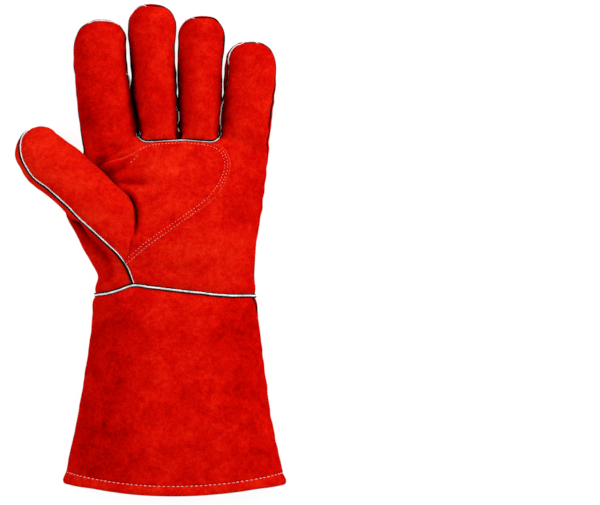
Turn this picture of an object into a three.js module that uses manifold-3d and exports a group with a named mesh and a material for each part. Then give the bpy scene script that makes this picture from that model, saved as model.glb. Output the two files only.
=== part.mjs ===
// A red split-leather work gauntlet for the left hand, lying palm up with its back flattened on a table.
// Millimetres. X runs across the palm away from the thumb, Y towards the fingertips, Z up, and the origin is
// on the table under the middle of the glove. The hand is one hollow skin, cut along its seams into the
// leather pieces that a cutter would sew, with a piped welt standing in each gap.
import * as THREE from 'three';
import { mergeVertices } from 'three/addons/utils/BufferGeometryUtils.js';
import Module from 'manifold-3d';

const wasm = await Module();
wasm.setup();

// Driving dimensions
const LENGTH = 356; // middle fingertip to hem edge, a 14 inch gauntlet
const MIDDLE_TIP_Y = 178.3;
const HEM_EDGE_Y = MIDDLE_TIP_Y - LENGTH;
const LEATHER = 2; // thickness of a leather wall
const SEAM_Z = 15; // height of the seam that joins the palm side to the back
const CORE_Z = 13; // height of the widest line of every section
const BACK_DEPTH = 15.5; // how far the back would bulge below CORE_Z if the table did not flatten it
const GAP = 0.3; // clearance between neighbouring pieces
const PIPING = 0.7; // half the width of a finger or knuckle welt
const PIPING_PROUD = 0.8; // how far a welt stands out of the leather
const WRIST_PIPING = 1.1;
const PATCH_THICKNESS = 1.3;
const HEM_WIDTH = 7.2; // from the hem's stitch line to its folded edge
const HEM_INNER_LAYER = 0.4; // what the folded layer adds inside the cuff
const HEM_PROUD = 0.6; // and outside it
const HEM_RADIUS = 336; // plan radius of the hem's arc
const HEM_CENTRE_X = 17.3;
const HIGH = 80; // above everything
const LOW = -5; // below everything
const FAR = 120; // beyond the glove's sides
const BEYOND_TIPS = 195;

const BODY_SIDES = 28;
const FINGER_SIDES = 16;
const BODY_POWER = 2.6; // superellipse powers: 2 is an ellipse, more is fuller
const FINGER_POWER = 2.3;
const TIP_POWER = 2.5; // the fingertips' plan outline
const THUMB_TIP_POWER = 2;
const TIP_STEPS = [0.985, 0.9, 0.72, 0.45]; // rings along a rounded tip, as shares of its length
const HOLLOW = { x: -16, y: 53, across: 15, along: 12, depth: 4.5 }; // where the palm sinks beside the thumb

// Palm and cuff in one: plan edges and top height at each station, from the knuckles to past the hem.
const BODY = [
  { y: 82.5, left: -46.0, right: 82.0, top: 24.0 },
  { y: 79.0, left: -49.0, right: 85.2, top: 27.5 },
  { y: 70.0, left: -49.8, right: 85.4, top: 30.0 },
  { y: 58.0, left: -53.0, right: 83.7, top: 32.5 },
  { y: 43.5, left: -57.0, right: 81.9, top: 35.0 },
  { y: 27.0, left: -62.8, right: 79.7, top: 37.0 },
  { y: 12.0, left: -54.5, right: 77.3, top: 38.0 },
  { y: -2.0, left: -47.6, right: 75.7, top: 37.5 },
  { y: -18.0, left: -39.0, right: 75.0, top: 35.5 },
  { y: -30.0, left: -39.4, right: 75.9, top: 34.5 },
  { y: -36.0, left: -41.2, right: 76.5, top: 35.5 },
  { y: -60.0, left: -43.8, right: 79.0, top: 38.0 },
  { y: -93.0, left: -48.5, right: 83.2, top: 41.5 },
  { y: -125.0, left: -53.8, right: 87.6, top: 44.0 },
  { y: -154.0, left: -60.3, right: 94.0, top: 45.5 },
  { y: -172.0, left: -63.4, right: 97.8, top: 45.5 },
  { y: -188.0, left: -66.0, right: 100.5, top: 45.5 },
];

// Each finger from its root inside the palm to where its tip starts to round; tip gives its end.
const FINGERS = {
  index: {
    tip: { x: -36.2, y: 167.0 },
    rows: [
      { x: -37.0, y: 146.0, half: 19.2, top: 26.5 },
      { x: -36.6, y: 133.0, half: 19.4, top: 27.0 },
      { x: -33.4, y: 108.0, half: 20.2, top: 27.5 },
      { x: -29.9, y: 82.0, half: 20.8, top: 27.5 },
      { x: -28.0, y: 64.0, half: 18.5, top: 23.0 },
    ],
  },
  middle: {
    tip: { x: 0.9, y: MIDDLE_TIP_Y },
    rows: [
      { x: 0.6, y: 159.0, half: 17.5, top: 26.5 },
      { x: 1.2, y: 138.0, half: 16.3, top: 27.0 },
      { x: 3.1, y: 108.0, half: 15.2, top: 28.0 },
      { x: 5.8, y: 82.0, half: 14.0, top: 27.5 },
      { x: 6.4, y: 64.0, half: 13.0, top: 23.0 },
    ],
  },
  ring: {
    tip: { x: 36.9, y: 169.6 },
    rows: [
      { x: 36.6, y: 151.0, half: 17.0, top: 26.5 },
      { x: 35.6, y: 136.0, half: 16.2, top: 27.0 },
      { x: 35.7, y: 108.0, half: 15.1, top: 28.0 },
      { x: 35.3, y: 82.0, half: 14.2, top: 27.5 },
      { x: 35.2, y: 64.0, half: 13.0, top: 23.0 },
    ],
  },
  little: {
    tip: { x: 72.6, y: 151.6 },
    rows: [
      { x: 72.0, y: 131.0, half: 18.3, top: 25.0 },
      { x: 71.6, y: 120.0, half: 18.3, top: 25.5 },
      { x: 70.5, y: 106.0, half: 17.7, top: 26.5 },
      { x: 68.5, y: 82.0, half: 17.9, top: 27.0 },
      { x: 66.5, y: 64.0, half: 15.5, top: 23.0 },
    ],
  },
};

// The thumb crosses the palm at a slant: outer and inner plan edges, mid height and half thickness. Its seam
// runs through the middle of each section, raised on the outer side by seamDeg.
const THUMB_TIP = { x: -91.6, y: 84.7 };
const THUMB = [
  { outer: [-95.8, 60.9], inner: [-69.5, 84.3], mid: 14.5, half: 13.5, seamDeg: 39 },
  { outer: [-88.2, 49.6], inner: [-56.7, 75.3], mid: 17.0, half: 14.5, seamDeg: 32 },
  { outer: [-76.0, 40.6], inner: [-41.3, 62.7], mid: 22.0, half: 15.0, seamDeg: 32 },
  { outer: [-63.0, 29.6], inner: [-24.6, 47.8], mid: 28.0, half: 15.5, seamDeg: 31 },
  { outer: [-47.8, 12.9], inner: [-11.3, 32.6], mid: 29.5, half: 14.0, seamDeg: 34 },
  { outer: [-34.7, -1.6], inner: [-10.2, 12.2], mid: 31.0, half: 9.5, seamDeg: 51 },
  { outer: [-27.6, -8.6], inner: [-11.6, 0.4], mid: 30.5, half: 6.5, seamDeg: 70 },
  { outer: [-21.0, -14.0], inner: [-14.0, -9.8], mid: 29.0, half: 3.0, seamDeg: 80 },
];

// Seam lines in plan, as [x, y] points that a curve is drawn through.
const WRIST_LINE = [
  [-52, -34], [-39.8, -32.1], [-27, -29.4], [-12.2, -25.8], [3, -27.4], [17.6, -29.2], [54, -32.9],
  [90, -33.4],
];
const THUMB_ROOT_LINE = [[-19.0, -8.0], [-15.6, -15.5], [-12.4, -24.6]];
const KNUCKLE_LINE = [
  [-10.1, 92], [-8.8, 84.5], [-7.4, 80.4], [-3.2, 78.8], [8, 79.3], [21, 80], [34, 79.3], [44.8, 78.6],
  [48.8, 80.2], [50.2, 84.5], [50.8, 92],
];
const PATCH_OUTLINE = [
  [-6.4, 73.9], [-2.2, 76.0], [4, 77.2], [21, 78], [45.4, 76.8], [51.6, 74.5], [55.4, 70.6], [58, 61.6],
  [55.2, 50.2], [47.8, 38.4], [37.2, 29.2], [12.2, 11.8], [-2.7, 1.2], [-21, -12], [-32, 2], [-42, 20],
  [-52, 57], [-39, 60.8], [-31.9, 63.5], [-25.5, 65.5], [-19, 67.2], [-12.6, 69.9],
];
const CURVE_POINTS = 20; // points drawn along a seam line
const KNUCKLE_POINTS = 28;
const ROOT_POINTS = 6;
const PATCH_POINTS = 60;

// Plan lines between neighbouring fingers, from the knuckle welt to past the tips.
const INDEX_MIDDLE_GAP = [[-8.4, 80], [-12.6, 108], [-16.4, 138], [-17.8, 160], [-18, 190]];
const MIDDLE_RING_GAP = [[20.5, 80], [19.4, 108], [18.4, 138], [18.8, 160], [19, 190]];
const RING_LITTLE_GAP = [[50.0, 80], [51.9, 108], [53.0, 138], [55, 160], [55, 190]];

const power = (v, e) => Math.sign(v) * Math.abs(v) ** e;

// How wide a rounded tip still is at this share of its length.
const tipWidth = (t, fullness) => (1 - t ** fullness) ** (1 / fullness);

// A closed mesh's geometry as a solid.
function solid(geometry) {
  const bare = geometry.clone();
  bare.deleteAttribute('normal');
  bare.deleteAttribute('uv');
  const merged = mergeVertices(bare, 1e-4);
  return new wasm.Manifold(new wasm.Mesh({
    numProp: 3,
    vertProperties: merged.attributes.position.array,
    triVerts: new Uint32Array(merged.index.array),
  }));
}

// Rings of points joined into one closed skin, with a fan over each end.
function loft(rings) {
  const sides = rings[0].length;
  const points = rings.flat();
  const index = [];
  for (let r = 0; r < rings.length - 1; r++) {
    for (let i = 0; i < sides; i++) {
      const a = r * sides + i;
      const b = r * sides + ((i + 1) % sides);
      index.push(a, b, b + sides, a, b + sides, a + sides);
    }
  }
  const last = (rings.length - 1) * sides;
  for (const [start, turn] of [[0, 1], [last, 0]]) {
    const middle = points.length;
    const centre = new THREE.Vector3();
    for (let i = 0; i < sides; i++) centre.addScaledVector(points[start + i], 1 / sides);
    points.push(centre);
    for (let i = 0; i < sides; i++) {
      const a = start + i;
      const b = start + ((i + 1) % sides);
      index.push(...(turn ? [b, a, middle] : [a, b, middle]));
    }
  }
  const geometry = new THREE.BufferGeometry().setFromPoints(points);
  geometry.setIndex(index);
  return solid(geometry);
}

// One ring of a tube: a superellipse across the direction `side`, flattened where it meets the table.
// grow moves it out of the leather's outer face, or into the glove where it is negative.
function ring({ centre, side, half, up, down, grow, shrink = 1, sides, fullness }) {
  const table = Math.max(0, -grow);
  return Array.from({ length: sides }, (_, i) => {
    const angle = (2 * Math.PI * (i + 0.5)) / sides;
    const across = power(Math.cos(angle), 2 / fullness) * (half + grow) * shrink;
    const reach = Math.sin(angle) > 0 ? up : down;
    const height = power(Math.sin(angle), 2 / fullness) * (reach + grow) * shrink;
    return new THREE.Vector3(
      centre.x + side.x * across,
      centre.y + side.y * across,
      Math.max(table, centre.z + height),
    );
  });
}

// The palm and cuff, from the knuckles to past the hem, with the hollow pressed into the palm.
function body(grow) {
  const press = (point) => {
    const away = ((point.x - HOLLOW.x) / HOLLOW.across) ** 2 + ((point.y - HOLLOW.y) / HOLLOW.along) ** 2;
    if (point.z > CORE_Z) point.z -= HOLLOW.depth * Math.exp(-away);
    return point;
  };
  return loft(BODY.map(({ y, left, right, top }, i) => ring({
    centre: { x: (left + right) / 2, y: i < 2 ? y + grow : y, z: CORE_Z },
    side: { x: 1, y: 0 },
    half: (right - left) / 2,
    up: top - CORE_Z,
    down: BACK_DEPTH,
    grow,
    sides: BODY_SIDES,
    fullness: BODY_POWER,
  }).map(press)));
}

// A finger, with a rounded tip.
function finger({ tip, rows }, grow) {
  const [bulb] = rows;
  const shape = ({ half, top }) => ({
    side: { x: 1, y: 0 },
    half,
    up: top - CORE_Z,
    down: BACK_DEPTH,
    grow,
    sides: FINGER_SIDES,
    fullness: FINGER_POWER,
  });
  const end = tip.y + grow;
  const rounded = TIP_STEPS.map((t) => ring({
    ...shape(bulb),
    centre: { x: bulb.x + (tip.x - bulb.x) * t, y: bulb.y + (end - bulb.y) * t, z: CORE_Z },
    shrink: tipWidth(t, TIP_POWER),
  }));
  const straight = rows.map((row) => ring({ ...shape(row), centre: { x: row.x, y: row.y, z: CORE_Z } }));
  return loft([...rounded, ...straight]);
}

// The thumb, with a rounded tip and a root that sinks into the palm.
function thumb(grow) {
  const section = ({ outer, inner, mid, half }) => {
    const side = new THREE.Vector2(inner[0] - outer[0], inner[1] - outer[1]);
    return {
      centre: { x: (outer[0] + inner[0]) / 2, y: (outer[1] + inner[1]) / 2, z: mid },
      half: side.length() / 2,
      side: side.normalize(),
      up: half,
      down: half,
      grow,
      sides: FINGER_SIDES,
      fullness: FINGER_POWER,
    };
  };
  const bulb = section(THUMB[0]);
  const outward = new THREE.Vector2(THUMB_TIP.x - bulb.centre.x, THUMB_TIP.y - bulb.centre.y);
  outward.setLength(outward.length() + grow);
  const rounded = TIP_STEPS.map((t) => ring({
    ...bulb,
    centre: { x: bulb.centre.x + outward.x * t, y: bulb.centre.y + outward.y * t, z: bulb.centre.z },
    shrink: tipWidth(t, THUMB_TIP_POWER),
  }));
  return loft([...rounded, ...THUMB.map((row) => ring(section(row)))]);
}

// The hand and cuff without the thumb, its surface moved out by grow.
const hand = (grow) => Object.values(FINGERS).reduce((all, f) => all.add(finger(f, grow)), body(grow));

// A plan outline stood up between two heights.
function prism(outline, low, high) {
  const shape = new THREE.Shape(outline.map(([x, y]) => new THREE.Vector2(x, y)));
  const block = new THREE.ExtrudeGeometry(shape, { depth: high - low, bevelEnabled: false });
  return solid(block.translate(0, 0, low));
}

// A smooth curve through plan points, as a list of [x, y].
function curve(line, count = CURVE_POINTS) {
  const spline = new THREE.SplineCurve(line.map(([x, y]) => new THREE.Vector2(x, y)));
  return spline.getPoints(count).map((p) => [p.x, p.y]);
}

// The band within `reach` of a plan line, as a closed outline.
function band(line, reach) {
  const shifted = (offset) => line.map(([x, y], i) => {
    const [ax, ay] = line[Math.max(0, i - 1)];
    const [bx, by] = line[Math.min(line.length - 1, i + 1)];
    const length = Math.hypot(bx - ax, by - ay);
    return [x - ((by - ay) / length) * offset, y + ((bx - ax) / length) * offset];
  });
  return [...shifted(reach), ...shifted(-reach).reverse()];
}

// Everything that lies more than `low` above the thumb's bent seam.
function aboveThumbSeam(low) {
  const reach = 26;
  const high = 40;
  const rows = THUMB.map(({ outer, inner, mid, seamDeg }) => {
    const side = new THREE.Vector3(inner[0] - outer[0], inner[1] - outer[1], 0).normalize();
    const turn = THREE.MathUtils.degToRad(seamDeg);
    return {
      centre: new THREE.Vector3((outer[0] + inner[0]) / 2, (outer[1] + inner[1]) / 2, mid),
      across: side.clone().multiplyScalar(Math.cos(turn)).setZ(-Math.sin(turn)),
      up: side.clone().multiplyScalar(Math.sin(turn)).setZ(Math.cos(turn)),
    };
  });
  const [bulb] = rows;
  const tip = new THREE.Vector3(THUMB_TIP.x, THUMB_TIP.y, bulb.centre.z);
  const ends = [{ ...bulb, centre: bulb.centre.clone().lerp(tip, 2) }, ...rows];
  const corners = [[reach, low], [reach, high], [-reach, high], [-reach, low], [0, low]];
  return loft(ends.map(({ centre, across, up }) => corners.map(
    ([aside, height]) => centre.clone().addScaledVector(across, aside).addScaledVector(up, height),
  )));
}

// The largest body of a cut, without the crumbs that a cut can leave.
function largest(cut) {
  return cut.decompose().reduce((best, part) => (part.volume() > best.volume() ? part : best));
}

// An arc of the hem's curve, at `edge` on its middle.
function hemArc(edge) {
  const reach = 110;
  return Array.from({ length: CURVE_POINTS + 1 }, (_, i) => {
    const x = HEM_CENTRE_X + reach * ((2 * i) / CURVE_POINTS - 1);
    return [x, edge + HEM_RADIUS - Math.sqrt(HEM_RADIUS ** 2 - (x - HEM_CENTRE_X) ** 2)];
  });
}

const wristLine = curve(WRIST_LINE);
const knuckleLine = curve(KNUCKLE_LINE, KNUCKLE_POINTS);
const thumbRootLine = curve(THUMB_ROOT_LINE, ROOT_POINTS);
const stitchArc = hemArc(HEM_EDGE_Y + HEM_WIDTH);
const hemArcEdge = hemArc(HEM_EDGE_Y);

// The plan area of the palm and all fingers: its edge runs hidden under the thumb, then down its root.
const underThumb = [[-70, 68], [-49, 62], [-40, 40], [-26, 5]];
const rootOfThumb = THUMB_ROOT_LINE[THUMB_ROOT_LINE.length - 1][0];
const palmSide = [
  ...wristLine.filter(([x]) => x > rootOfThumb), [FAR, -34], [FAR, BEYOND_TIPS], [-70, BEYOND_TIPS],
  ...underThumb, ...thumbRootLine,
];
const aboveWrist = prism(
  [...wristLine, [FAR, -33], [FAR, BEYOND_TIPS], [-FAR, BEYOND_TIPS], [-FAR, -34]], LOW, HIGH,
);
const cuffArea = prism([...wristLine, ...stitchArc.slice().reverse()], LOW, HIGH);
const hemArea = prism([...stitchArc, ...hemArcEdge.slice().reverse()], LOW, HIGH);

const outside = hand(0);
const inside = hand(-LEATHER);
const proud = hand(PIPING_PROUD);
const thumbOutside = thumb(0);
const thumbInside = thumb(-LEATHER);
const thumbRoom = thumb(GAP);
const skin = outside.subtract(inside).subtract(thumbRoom);
const thumbSkin = thumbOutside.subtract(thumbInside).subtract(hand(GAP));
const weltSkin = proud.subtract(inside).subtract(thumb(PIPING_PROUD + GAP));

const cutHalf = PIPING + GAP; // half the gap that a welt stands in
const seamTop = SEAM_Z + cutHalf;
const seamBottom = SEAM_Z - cutHalf;
const wristGap = prism(band(wristLine, WRIST_PIPING + GAP), LOW, HIGH);
const knuckleGap = prism(band(knuckleLine, cutHalf), SEAM_Z, HIGH);
const thumbRootGap = prism(band(thumbRootLine, cutHalf), SEAM_Z, HIGH);
const upperSide = prism(palmSide, seamTop, HIGH).subtract(wristGap).subtract(thumbRootGap);

const fingerArea = (leftGap, rightGap) => prism([...leftGap, ...rightGap.slice().reverse()], seamTop, HIGH);
const middleArea = fingerArea(INDEX_MIDDLE_GAP, MIDDLE_RING_GAP).subtract(knuckleGap);
const ringArea = fingerArea(MIDDLE_RING_GAP, RING_LITTLE_GAP).subtract(knuckleGap);
const wrappedFingers = fingerArea(INDEX_MIDDLE_GAP, RING_LITTLE_GAP);
const aboveKnuckles = prism([...knuckleLine, [FAR, BEYOND_TIPS], [-FAR, BEYOND_TIPS]], LOW, HIGH);

// The palm piece runs on over the fronts of the index and little fingers.
function palmPiece() {
  const taken = wrappedFingers.intersect(aboveKnuckles).add(knuckleGap);
  return largest(skin.intersect(upperSide).subtract(taken));
}

// The back wraps round the thumb's root to the front.
function backPiece() {
  const front = prism(palmSide, seamBottom, HIGH);
  return largest(skin.intersect(aboveWrist).subtract(front).subtract(wristGap).subtract(thumbRootGap));
}

function frontOf(area) {
  return largest(skin.intersect(area).intersect(aboveKnuckles));
}

// The welt round the fingers and down both edges of the hand.
function fingerWelt() {
  const level = prism(palmSide, SEAM_Z - PIPING, SEAM_Z + PIPING);
  return largest(weltSkin.intersect(level).subtract(wristGap).subtract(thumbRootGap));
}

function knuckleWelt() {
  return largest(weltSkin.intersect(prism(band(knuckleLine, PIPING), seamTop, HIGH)));
}

function thumbRootWelt() {
  const line = prism(band(thumbRootLine, PIPING), seamTop, HIGH);
  return largest(weltSkin.intersect(line).subtract(wristGap));
}

function thumbPieces() {
  const welt = thumb(PIPING_PROUD).subtract(thumbInside).subtract(hand(PIPING_PROUD + GAP));
  return {
    front: largest(thumbSkin.intersect(aboveThumbSeam(cutHalf))),
    back: largest(thumbSkin.subtract(aboveThumbSeam(-cutHalf))),
    welt: largest(welt.intersect(aboveThumbSeam(-PIPING)).subtract(aboveThumbSeam(PIPING))),
  };
}

function wristWelt() {
  return largest(proud.subtract(inside).intersect(prism(band(wristLine, WRIST_PIPING), LOW, HIGH)));
}

// The cuff is one piece wrapped round to a side seam on the little finger's side.
function cuffPieces() {
  const littleSide = [[HEM_CENTRE_X, 0], [HEM_CENTRE_X, -200], [FAR, -200], [FAR, 0]];
  const slab = (half) => prism(littleSide, SEAM_Z - half, SEAM_Z + half);
  const area = cuffArea.subtract(wristGap);
  const hemGap = prism(band(stitchArc, GAP), LOW, HIGH);
  return {
    cuff: largest(outside.subtract(inside).intersect(area).subtract(hemGap).subtract(slab(cutHalf))),
    welt: largest(proud.subtract(inside).intersect(area).subtract(hemGap).intersect(slab(PIPING))),
    hem: largest(body(HEM_PROUD).subtract(body(-LEATHER - HEM_INNER_LAYER)).intersect(hemArea)),
  };
}

// The second layer stitched over the palm, which runs in under the thumb.
function palmPatch() {
  const layer = hand(GAP + PATCH_THICKNESS).subtract(hand(GAP)).subtract(thumb(PIPING_PROUD + GAP));
  const area = prism(curve([...PATCH_OUTLINE, PATCH_OUTLINE[0]], PATCH_POINTS), seamTop + GAP, HIGH);
  const clear = prism(band(knuckleLine, PIPING + GAP), SEAM_Z, HIGH);
  return largest(layer.intersect(area).subtract(clear).subtract(thumbRootGap));
}

function material(colour, roughness) {
  return new THREE.MeshStandardMaterial({ color: colour, roughness, metalness: 0 });
}
const suede = material(0xd3150a, 0.95);
const suedeBack = material(0xc41309, 0.95);
const piping = material(0xe9e5df, 0.5);
const blackPiping = material(0x1c1a19, 0.5);

const glove = new THREE.Group();
glove.name = 'glove';

function add(name, piece, look) {
  const { vertProperties, triVerts, numProp } = piece.getMesh();
  const geometry = new THREE.BufferGeometry();
  geometry.setAttribute('position', new THREE.Float32BufferAttribute(vertProperties, numProp));
  geometry.setIndex(new THREE.Uint32BufferAttribute(triVerts, 1));
  geometry.computeVertexNormals();
  const mesh = new THREE.Mesh(geometry, look);
  mesh.name = name;
  glove.add(mesh);
}

const thumbParts = thumbPieces();
const cuffParts = cuffPieces();
add('palm', palmPiece(), suede);
add('middle_finger_front', frontOf(middleArea), suede);
add('ring_finger_front', frontOf(ringArea), suede);
add('back', backPiece(), suedeBack);
add('thumb_front', thumbParts.front, suede);
add('thumb_back', thumbParts.back, suedeBack);
add('palm_patch', palmPatch(), suede);
add('cuff', cuffParts.cuff, suede);
add('hem', cuffParts.hem, suede);
add('finger_welt', fingerWelt(), piping);
add('knuckle_welt', knuckleWelt(), piping);
add('thumb_welt', thumbParts.welt, piping);
add('thumb_root_welt', thumbRootWelt(), piping);
add('wrist_welt', wristWelt(), piping);
add('cuff_seam_welt', cuffParts.welt, blackPiping);

export default glove;
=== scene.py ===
# A red split-leather work gauntlet for the left hand, lying palm up. One smooth glove skin is drawn from the
# glove's own sizes, creased along its seams, cut into the leather pieces, thickened, and joined with piping
# and thread. Lengths here are millimetres until a mesh is made.
import copy
import math

import bpy
import numpy as np
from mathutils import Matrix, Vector
from mathutils.bvhtree import BVHTree


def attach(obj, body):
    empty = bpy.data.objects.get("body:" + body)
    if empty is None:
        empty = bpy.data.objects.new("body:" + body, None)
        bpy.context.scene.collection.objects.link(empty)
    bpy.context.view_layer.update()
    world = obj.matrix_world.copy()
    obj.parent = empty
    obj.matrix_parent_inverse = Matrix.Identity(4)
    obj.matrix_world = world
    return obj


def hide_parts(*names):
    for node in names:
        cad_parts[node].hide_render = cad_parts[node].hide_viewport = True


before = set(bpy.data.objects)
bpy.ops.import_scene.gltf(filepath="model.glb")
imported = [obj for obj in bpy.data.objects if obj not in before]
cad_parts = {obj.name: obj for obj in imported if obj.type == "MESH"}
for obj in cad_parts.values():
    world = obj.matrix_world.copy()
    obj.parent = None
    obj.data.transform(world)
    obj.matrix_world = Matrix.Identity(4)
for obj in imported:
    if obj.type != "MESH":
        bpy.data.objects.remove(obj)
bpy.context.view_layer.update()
MM = 0.001

# Driving dimensions, near those of the solids
LENGTH = 356  # middle fingertip to hem edge, a 14 inch gauntlet
MIDDLE_TIP_Y = 178.3
HEM_EDGE_Y = MIDDLE_TIP_Y - LENGTH
HEM_WIDTH = 8.0  # from the end of the cuff's leather to the folded edge
HEM_RADIUS = 362  # plan radius of the hem's arc
HEM_CENTRE_X = 17.3
LEATHER = 2.0  # thickness of a leather wall
SEAM_Z = 15.0  # height of the seam that joins the palm side to the back
CORE_Z = 13.0  # height of the widest line of every section
BACK_DEPTH = 15.5  # how far the back would bulge below CORE_Z if the table did not flatten it
BODY_FULLNESS = 2.6  # superellipse powers: 2 is an ellipse, more is fuller
FINGER_FULLNESS = 2.3
TIP_POWER = 2.5  # the fingertips' plan outline
THUMB_TIP_POWER = 2.0
TABLE_GAP = 0.15  # the leather rests this far above the table
HOLLOW_PLACE = (-16, 53)  # where the palm sinks beside the thumb
HOLLOW_REACH = (15, 12)
HOLLOW_DEPTH = 4.5

# Palm and cuff: y, left, right, top
BODY = [
    (82.5, -46.0, 82.0, 24.0),
    (79.0, -49.0, 85.2, 27.5),
    (70.0, -49.8, 85.9, 30.0),
    (58.0, -53.0, 84.3, 32.5),
    (43.5, -57.0, 82.5, 35.0),
    (27.0, -62.3, 80.3, 37.0),
    (12.0, -54.7, 77.8, 38.0),
    (-2.0, -47.8, 76.1, 37.5),
    (-18.0, -39.0, 75.0, 35.5),
    (-30.0, -40.4, 75.9, 34.5),
    (-36.0, -41.6, 76.5, 35.5),
    (-60.0, -43.9, 78.4, 38.0),
    (-93.0, -48.8, 82.3, 41.5),
    (-125.0, -54.1, 86.7, 44.0),
    (-154.0, -60.3, 92.9, 45.5),
    (-172.0, -63.4, 96.6, 45.5),
    (-188.0, -66.0, 99.3, 45.5),
]

# Fingers from the bulb to the root: x, y, half width, top; and the end of the tip
FINGERS = {
    "index": ((-35.4, 167.1), [
        (-37.0, 146.0, 19.2, 26.5),
        (-36.6, 133.0, 19.4, 27.0),
        (-34.0, 108.0, 19.6, 27.5),
        (-30.2, 82.0, 20.5, 27.5),
        (-28.0, 64.0, 18.5, 23.0),
    ]),
    "middle": ((0.9, MIDDLE_TIP_Y), [
        (0.6, 159.0, 17.5, 26.5),
        (1.2, 138.0, 16.3, 27.0),
        (3.1, 108.0, 15.2, 28.0),
        (5.8, 82.0, 14.0, 27.5),
        (6.4, 64.0, 13.0, 23.0),
    ]),
    "ring": ((36.9, 169.6), [
        (36.6, 151.0, 17.0, 26.5),
        (35.6, 136.0, 16.2, 27.0),
        (35.7, 108.0, 15.1, 28.0),
        (35.3, 82.0, 14.2, 27.5),
        (35.2, 64.0, 13.0, 23.0),
    ]),
    "little": ((72.6, 151.6), [
        (72.2, 131.0, 18.5, 25.0),
        (71.8, 120.0, 18.5, 25.5),
        (70.9, 106.0, 18.1, 26.5),
        (68.5, 82.0, 17.9, 27.0),
        (66.5, 64.0, 15.5, 23.0),
    ]),
}

# Thumb from the bulb to the root: outer x, y, inner x, y, mid height, half thickness, seam angle
THUMB_TIP = (-92.2, 84.5)
THUMB = [
    (-95.8, 60.9, -69.5, 84.3, 14.5, 13.5, 39),
    (-88.2, 49.6, -56.7, 75.3, 17.0, 14.5, 32),
    (-76.0, 40.6, -41.3, 62.7, 22.0, 15.0, 32),
    (-63.0, 29.6, -24.6, 47.8, 28.0, 15.5, 31),
    (-47.8, 12.9, -11.3, 32.6, 29.5, 14.0, 34),
    (-34.7, -1.6, -10.2, 12.2, 31.0, 9.5, 51),
    (-27.6, -8.6, -11.6, 0.4, 30.5, 6.5, 70),
    (-21.0, -14.0, -14.0, -9.8, 29.0, 3.0, 80),
]

# Seam lines in plan
WRIST_LINE = [
    (-52, -34), (-39.8, -32.9), (-27, -30.8), (-12.2, -25.8), (3, -27.4), (17.6, -29.2), (54, -32.9),
    (90, -33.4),
]
THUMB_ROOT_LINE = [(-19.0, -8.0), (-15.6, -15.5), (-12.4, -24.6)]
UNDER_THUMB = [(-70, 68), (-49, 62), (-40, 40), (-26, 5)]
KNUCKLE_LINE = [
    (-10.1, 92), (-8.8, 84.5), (-7.4, 80.4), (-3.2, 78.8), (8, 79.3), (21, 80), (34, 79.3), (44.8, 78.6),
    (48.8, 80.2), (50.2, 84.5), (50.8, 92),
]
PATCH_OUTLINE = [
    (-6.4, 73.9), (-2.2, 76.0), (4, 77.2), (21, 78), (45.4, 76.8), (51.6, 74.5), (55.4, 70.6), (58, 61.6),
    (55.2, 50.2), (47.8, 38.4), (37.2, 29.2), (12.2, 11.8), (-2.7, 1.2), (-21, -12), (-32, 2), (-42, 20),
    (-52, 57), (-39, 60.8), (-31.9, 63.5), (-25.5, 65.5), (-19, 67.2), (-12.6, 69.9),
]
FAR = 200  # beyond the glove's sides and tips

# The skin's mesh
VOXEL = 1.25
RELAX_ROUNDS = 16
BODY_SIDES = 160
FINGER_SIDES = 72
THUMB_SIDES = 110
FINGER_SPREAD = 5.0  # how far apart neighbouring fingers are held while the skin is drawn
SPREAD_START = 76
SPREAD_END = 93
# Neighbouring fingers, the y up to which they touch, and how near they stay above it, up to which y
PRESSED = [
    ("index", "middle", 122, 0.4, 132),
    ("middle", "ring", 110, 0.7, 134),
    ("ring", "little", 111, 0.15, 130),
]


def camera_over_glove():
    """Looks straight down on the middle of the photograph's frame, where the glove sits left of centre."""
    centre = Vector((108.4, -2.0, 18.0)) * MM
    height = 3.2
    frame_width = 0.4359
    camera = bpy.data.objects.new("camera", bpy.data.cameras.new("camera"))
    camera.location = (centre.x, centre.y, height)
    camera.data.sensor_width = 36
    camera.data.lens = camera.data.sensor_width * (height - centre.z) / frame_width
    camera.data.clip_end = 20
    bpy.context.scene.collection.objects.link(camera)
    bpy.context.scene.camera = camera


camera_over_glove()


# Curves and plan shapes
def smooth(points, steps):
    """A curve through every point, with this many steps between neighbours."""
    p = np.asarray(points, float)
    ends = np.vstack([2 * p[0] - p[1], p, 2 * p[-1] - p[-2]])
    t = np.linspace(0, 1, steps, endpoint=False)[:, None]
    spans = [
        0.5 * (2 * b + (c - a) * t + (2 * a - 5 * b + 4 * c - d) * t**2 + (3 * b - a - 3 * c + d) * t**3)
        for a, b, c, d in zip(ends[:-3], ends[1:-2], ends[2:-1], ends[3:])
    ]
    return np.vstack(spans + [p[-1:]])


def ease(value, low, high):
    t = np.clip((value - low) / (high - low), 0, 1)
    return t * t * (3 - 2 * t)


def bump(distance, width):
    """1 on a line, falling smoothly to nothing about two widths away."""
    return np.exp(-((distance / width) ** 2))


def spots(points, rows):
    """Soft round spots added up. A row has a spot's x, y, reach and amount."""
    x, y = points[:, 0], points[:, 1]
    return sum(amount * bump(np.hypot(x - px, y - py), reach) for px, py, reach, amount in rows)


def stretch(y, start, full, fading, end):
    """Rises from nothing at `start` to 1 at `full`, and falls from `fading` to nothing at `end`."""
    return ease(y, start, full) * (1 - ease(y, fading, end))


def line_distance(points, line):
    """How far each plan point is from a plan line."""
    best = np.full(len(points), 1e9)
    for a, b in zip(line[:-1], line[1:]):
        along = b - a
        t = np.clip(((points - a) @ along) / (along @ along), 0, 1)
        best = np.minimum(best, np.linalg.norm(points - a - t[:, None] * along, axis=1))
    return best


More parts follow.
